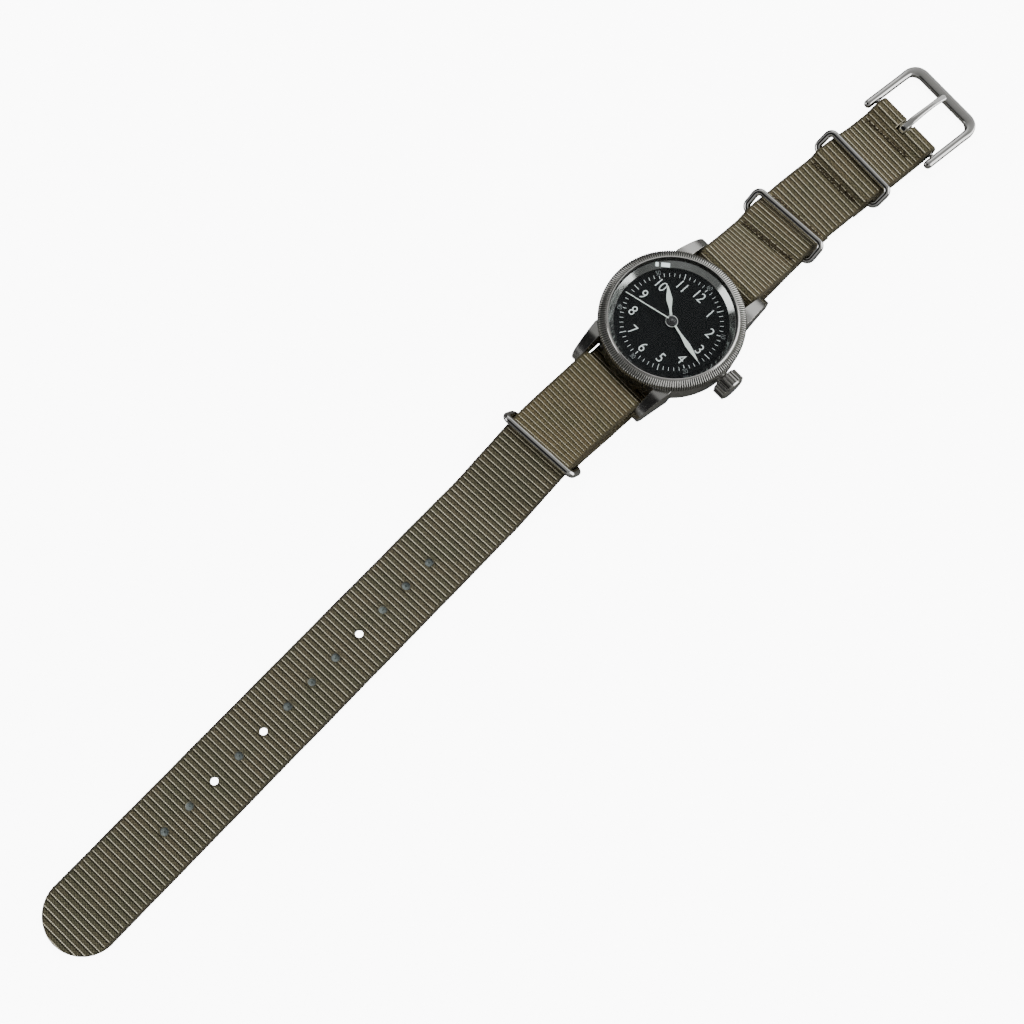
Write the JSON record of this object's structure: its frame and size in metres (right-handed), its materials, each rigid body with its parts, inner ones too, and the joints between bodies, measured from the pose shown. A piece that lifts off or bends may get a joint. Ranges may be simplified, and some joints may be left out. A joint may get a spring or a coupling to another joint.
{
  "type": "wristwatch",
  "caption": "Hand-wound field wristwatch with a round steel case, coin-edge bezel, black dial, and a one-piece ribbed fabric strap with a pin buckle and keeper rings.",
  "frame": {"origin": "on the dial axis, in the plane the watch rests on", "axes": "+X towards 3 o'clock and the crown, +Y towards 12 o'clock and the buckle, +Z out of the dial"},
  "size_m": [0.039, 0.2959, 0.0134],
  "materials": {
    "case_steel": "polished and satin stainless steel",
    "bezel_steel": "polished steel with a fine coin edge",
    "rehaut_steel": "polished steel",
    "hardware_steel": "polished steel wire",
    "crystal_glass": "clear domed crystal",
    "dial_black": "matt black lacquer",
    "hand_white": "white paint and pale luminous fill",
    "strap_webbing": "khaki ribbed nylon webbing",
    "thread": "olive sewing thread",
    "rubber_seal": "soft black rubber",
    "plate_brass": "rhodium-plated brass",
    "wheel_brass": "gilt brass",
    "movement_steel": "polished tool steel",
    "jewel_ruby": "synthetic ruby"
  },
  "bodies": {
    "head_and_strap": {"balance_cock": "plate_brass", "barrel_bridge": "plate_brass", "bezel": "bezel_steel", "case_back": "case_steel", "case_seals": "rubber_seal", "crown_tube": "case_steel", "crystal": "crystal_glass", "dial": "dial_black", "hairspring": "movement_steel", "jewel_bearings": "jewel_ruby", "main_plate": "plate_brass", "main_strap": "strap_webbing", "mid_case": "case_steel", "movement_ring": "plate_brass", "movement_screws": "movement_steel", "pallet_bridge": "plate_brass", "rehaut_ring": "rehaut_steel", "spring_bar_springs": "hardware_steel", "spring_bar_tubes": "hardware_steel", "stitching": "thread", "train_bridge": "plate_brass", "under_strap": "strap_webbing"},
    "winding_pinion": {"winding_pinion": "movement_steel"},
    "crown_and_stem": {"crown": "bezel_steel", "winding_stem": "movement_steel", "crown_gasket": "rubber_seal"},
    "sliding_pinion": {"sliding_pinion": "movement_steel"},
    "crown_wheel": {"crown_wheel": "movement_steel"},
    "ratchet": {"ratchet_wheel": "movement_steel", "barrel_arbor": "movement_steel"},
    "setting_lever": {"setting_lever": "movement_steel"},
    "yoke": {"yoke": "movement_steel"},
    "click": {"click": "movement_steel"},
    "seconds": {"seconds_wheel": "wheel_brass", "second_hand": "hand_white"},
    "escape": {"escape_wheel": "movement_steel"},
    "third": {"third_wheel": "wheel_brass"},
    "great": {"great_wheel": "wheel_brass"},
    "barrel": {"mainspring_barrel": "plate_brass", "mainspring": "movement_steel"},
    "minute": {"cannon_pinion": "movement_steel", "minute_hand": "hand_white"},
    "hour": {"hour_wheel": "wheel_brass", "hour_hand": "hand_white"},
    "minute_wheel": {"minute_wheel": "wheel_brass"},
    "intermediate": {"intermediate_wheel": "wheel_brass"},
    "driving_pinion": {"driving_pinion": "movement_steel"},
    "setting_wheel": {"setting_wheel": "wheel_brass"},
    "balance": {"balance_wheel": "wheel_brass"},
    "pallet": {"pallet_fork": "movement_steel"},
    "ring_1": {"keeper_ring_1": "hardware_steel"},
    "ring_2": {"keeper_ring_2": "hardware_steel"},
    "ring_3": {"keeper_ring_3": "hardware_steel"},
    "buckle": {"buckle_frame": "hardware_steel", "buckle_bar": "hardware_steel"},
    "tongue": {"buckle_tongue": "hardware_steel"},
    "tip_12_right": {"spring_bar_tip_12_right": "hardware_steel"},
    "tip_12_left": {"spring_bar_tip_12_left": "hardware_steel"},
    "tip_6_right": {"spring_bar_tip_6_right": "hardware_steel"},
    "tip_6_left": {"spring_bar_tip_6_left": "hardware_steel"}
  },
  "joints": [
    {"name": "crown_turn", "type": "hinge", "parent": "head_and_strap", "child": "winding_pinion", "pos_m": [0.0105, 0, 0.0066], "axis": [1, 0, 0], "continuous": true},
    {"name": "crown_pull", "type": "slide", "parent": "winding_pinion", "child": "crown_and_stem", "axis": [1, 0, 0], "range_m": [0, 0.0009]},
    {"name": "sliding_pinion_shift", "type": "slide", "parent": "winding_pinion", "child": "sliding_pinion", "axis": [1, 0, 0], "range_m": [-0.00025, 0]},
    {"name": "crown_wheel_turn", "type": "hinge", "parent": "head_and_strap", "child": "crown_wheel", "pos_m": [0.00704, 0, 0.0047], "axis": [0, 0, -1], "continuous": true},
    {"name": "ratchet_turn", "type": "hinge", "parent": "head_and_strap", "child": "ratchet", "pos_m": [0.00118, 0.0067, 0.0047], "axis": [0, 0, -1], "continuous": true},
    {"name": "setting_lever_turn", "type": "hinge", "parent": "head_and_strap", "child": "setting_lever", "pos_m": [0.01115, -0.0034, 0.0089], "axis": [0, 0, -1], "range_deg": [0, 15.5]},
    {"name": "yoke_turn", "type": "hinge", "parent": "head_and_strap", "child": "yoke", "pos_m": [0.0084, -0.0036, 0.0087], "axis": [0, 0, 1], "range_deg": [0, 4.5]},
    {"name": "click_lift", "type": "hinge", "parent": "head_and_strap", "child": "click", "pos_m": [-0.005, 0.0101, 0.0047], "axis": [0, 0, 1], "range_deg": [0, 6]},
    {"name": "seconds_turn", "type": "hinge", "parent": "head_and_strap", "child": "seconds", "pos_m": [0, 0, 0.0063], "axis": [0, 0, -1], "continuous": true},
    {"name": "escape_turn", "type": "hinge", "parent": "head_and_strap", "child": "escape", "pos_m": [-0.00135, -0.00372, 0.007], "axis": [0, 0, -1], "continuous": true},
    {"name": "third_turn", "type": "hinge", "parent": "head_and_strap", "child": "third", "pos_m": [-0.00447, -0.00056, 0.006], "axis": [0, 0, -1], "continuous": true},
    {"name": "great_turn", "type": "hinge", "parent": "head_and_strap", "child": "great", "pos_m": [-0.004, 0.00392, 0.0066], "axis": [0, 0, -1], "continuous": true},
    {"name": "barrel_turn", "type": "hinge", "parent": "head_and_strap", "child": "barrel", "pos_m": [0.00118, 0.0067, 0.007], "axis": [0, 0, -1], "continuous": true},
    {"name": "minute_turn", "type": "hinge", "parent": "head_and_strap", "child": "minute", "pos_m": [0, 0, 0.0088], "axis": [0, 0, -1], "continuous": true},
    {"name": "hour_turn", "type": "hinge", "parent": "head_and_strap", "child": "hour", "pos_m": [0, 0, 0.009], "axis": [0, 0, -1], "continuous": true},
    {"name": "minute_wheel_turn", "type": "hinge", "parent": "head_and_strap", "child": "minute_wheel", "pos_m": [0.00312, -0.0018, 0.0088], "axis": [0, 0, -1], "continuous": true},
    {"name": "intermediate_turn", "type": "hinge", "parent": "head_and_strap", "child": "intermediate", "pos_m": [-0.00358, 0.00034, 0.0088], "axis": [0, 0, -1], "continuous": true},
    {"name": "driving_pinion_slip", "type": "hinge", "parent": "head_and_strap", "child": "driving_pinion", "pos_m": [-0.004, 0.00392, 0.0088], "axis": [0, 0, -1], "continuous": true},
    {"name": "setting_wheel_turn", "type": "hinge", "parent": "head_and_strap", "child": "setting_wheel", "pos_m": [0.00658, 0, 0.0088], "axis": [0, 0, -1], "continuous": true},
    {"name": "balance_swing", "type": "hinge", "parent": "head_and_strap", "child": "balance", "pos_m": [0.00389, -0.00739, 0.0063], "axis": [0, 0, 1], "range_deg": [-270, 270]},
    {"name": "pallet_rock", "type": "hinge", "parent": "head_and_strap", "child": "pallet", "pos_m": [0.0011, -0.00544, 0.007], "axis": [0, 0, 1], "range_deg": [-4, 4]},
    {"name": "ring_1_tilt", "type": "hinge", "parent": "head_and_strap", "child": "ring_1", "pos_m": [-0.00023, 0.06116, 0.00216], "axis": [0.9988, -0.0488, 0], "range_deg": [0, 60]},
    {"name": "ring_2_tilt", "type": "hinge", "parent": "head_and_strap", "child": "ring_2", "pos_m": [-0.00061, 0.03739, 0.00274], "axis": [0.9988, 0.0488, 0], "range_deg": [0, 60]},
    {"name": "ring_3_tilt", "type": "hinge", "parent": "head_and_strap", "child": "ring_3", "pos_m": [0.00017, -0.04039, 0.00214], "axis": [-0.9976, -0.0691, 0], "range_deg": [0, 40]},
    {"name": "buckle_tilt", "type": "hinge", "parent": "head_and_strap", "child": "buckle", "pos_m": [0.00077, 0.08173, 0.00215], "axis": [0.9988, -0.0488, 0], "range_deg": [0, 25]},
    {"name": "tongue_lift", "type": "hinge", "parent": "buckle", "child": "tongue", "pos_m": [0.00077, 0.08173, 0.00215], "axis": [0.9988, -0.0488, 0], "range_deg": [0, 60]},
    {"name": "tip_12_right_press", "type": "slide", "parent": "head_and_strap", "child": "tip_12_right", "axis": [-1, 0, 0], "range_m": [0, 0.0011]},
    {"name": "tip_12_left_press", "type": "slide", "parent": "head_and_strap", "child": "tip_12_left", "axis": [1, 0, 0], "range_m": [0, 0.0011]},
    {"name": "tip_6_right_press", "type": "slide", "parent": "head_and_strap", "child": "tip_6_right", "axis": [-1, 0, 0], "range_m": [0, 0.0011]},
    {"name": "tip_6_left_press", "type": "slide", "parent": "head_and_strap", "child": "tip_6_left", "axis": [1, 0, 0], "range_m": [0, 0.0011]}
  ],
  "couplings": [
    {"joint": "sliding_pinion_shift", "follows": "crown_pull", "ratio": -0.27778},
    {"joint": "setting_lever_turn", "follows": "crown_pull", "rad_per_m": 294.11},
    {"joint": "yoke_turn", "follows": "crown_pull", "rad_per_m": 77.111},
    {"joint": "crown_wheel_turn", "follows": "crown_turn", "ratio": 0.5},
    {"joint": "ratchet_turn", "follows": "crown_turn", "ratio": -0.2807},
    {"joint": "escape_turn", "follows": "seconds_turn", "ratio": -10},
    {"joint": "third_turn", "follows": "seconds_turn", "ratio": -0.13333},
    {"joint": "great_turn", "follows": "seconds_turn", "ratio": 0.016667},
    {"joint": "barrel_turn", "follows": "seconds_turn", "ratio": -0.0027778},
    {"joint": "hour_turn", "follows": "minute_turn", "ratio": 0.083333},
    {"joint": "minute_wheel_turn", "follows": "minute_turn", "ratio": -0.33333},
    {"joint": "intermediate_turn", "follows": "minute_turn", "ratio": -0.33333},
    {"joint": "driving_pinion_slip", "follows": "minute_turn", "ratio": 1},
    {"joint": "setting_wheel_turn", "follows": "minute_turn", "ratio": 0.75}
  ]
}
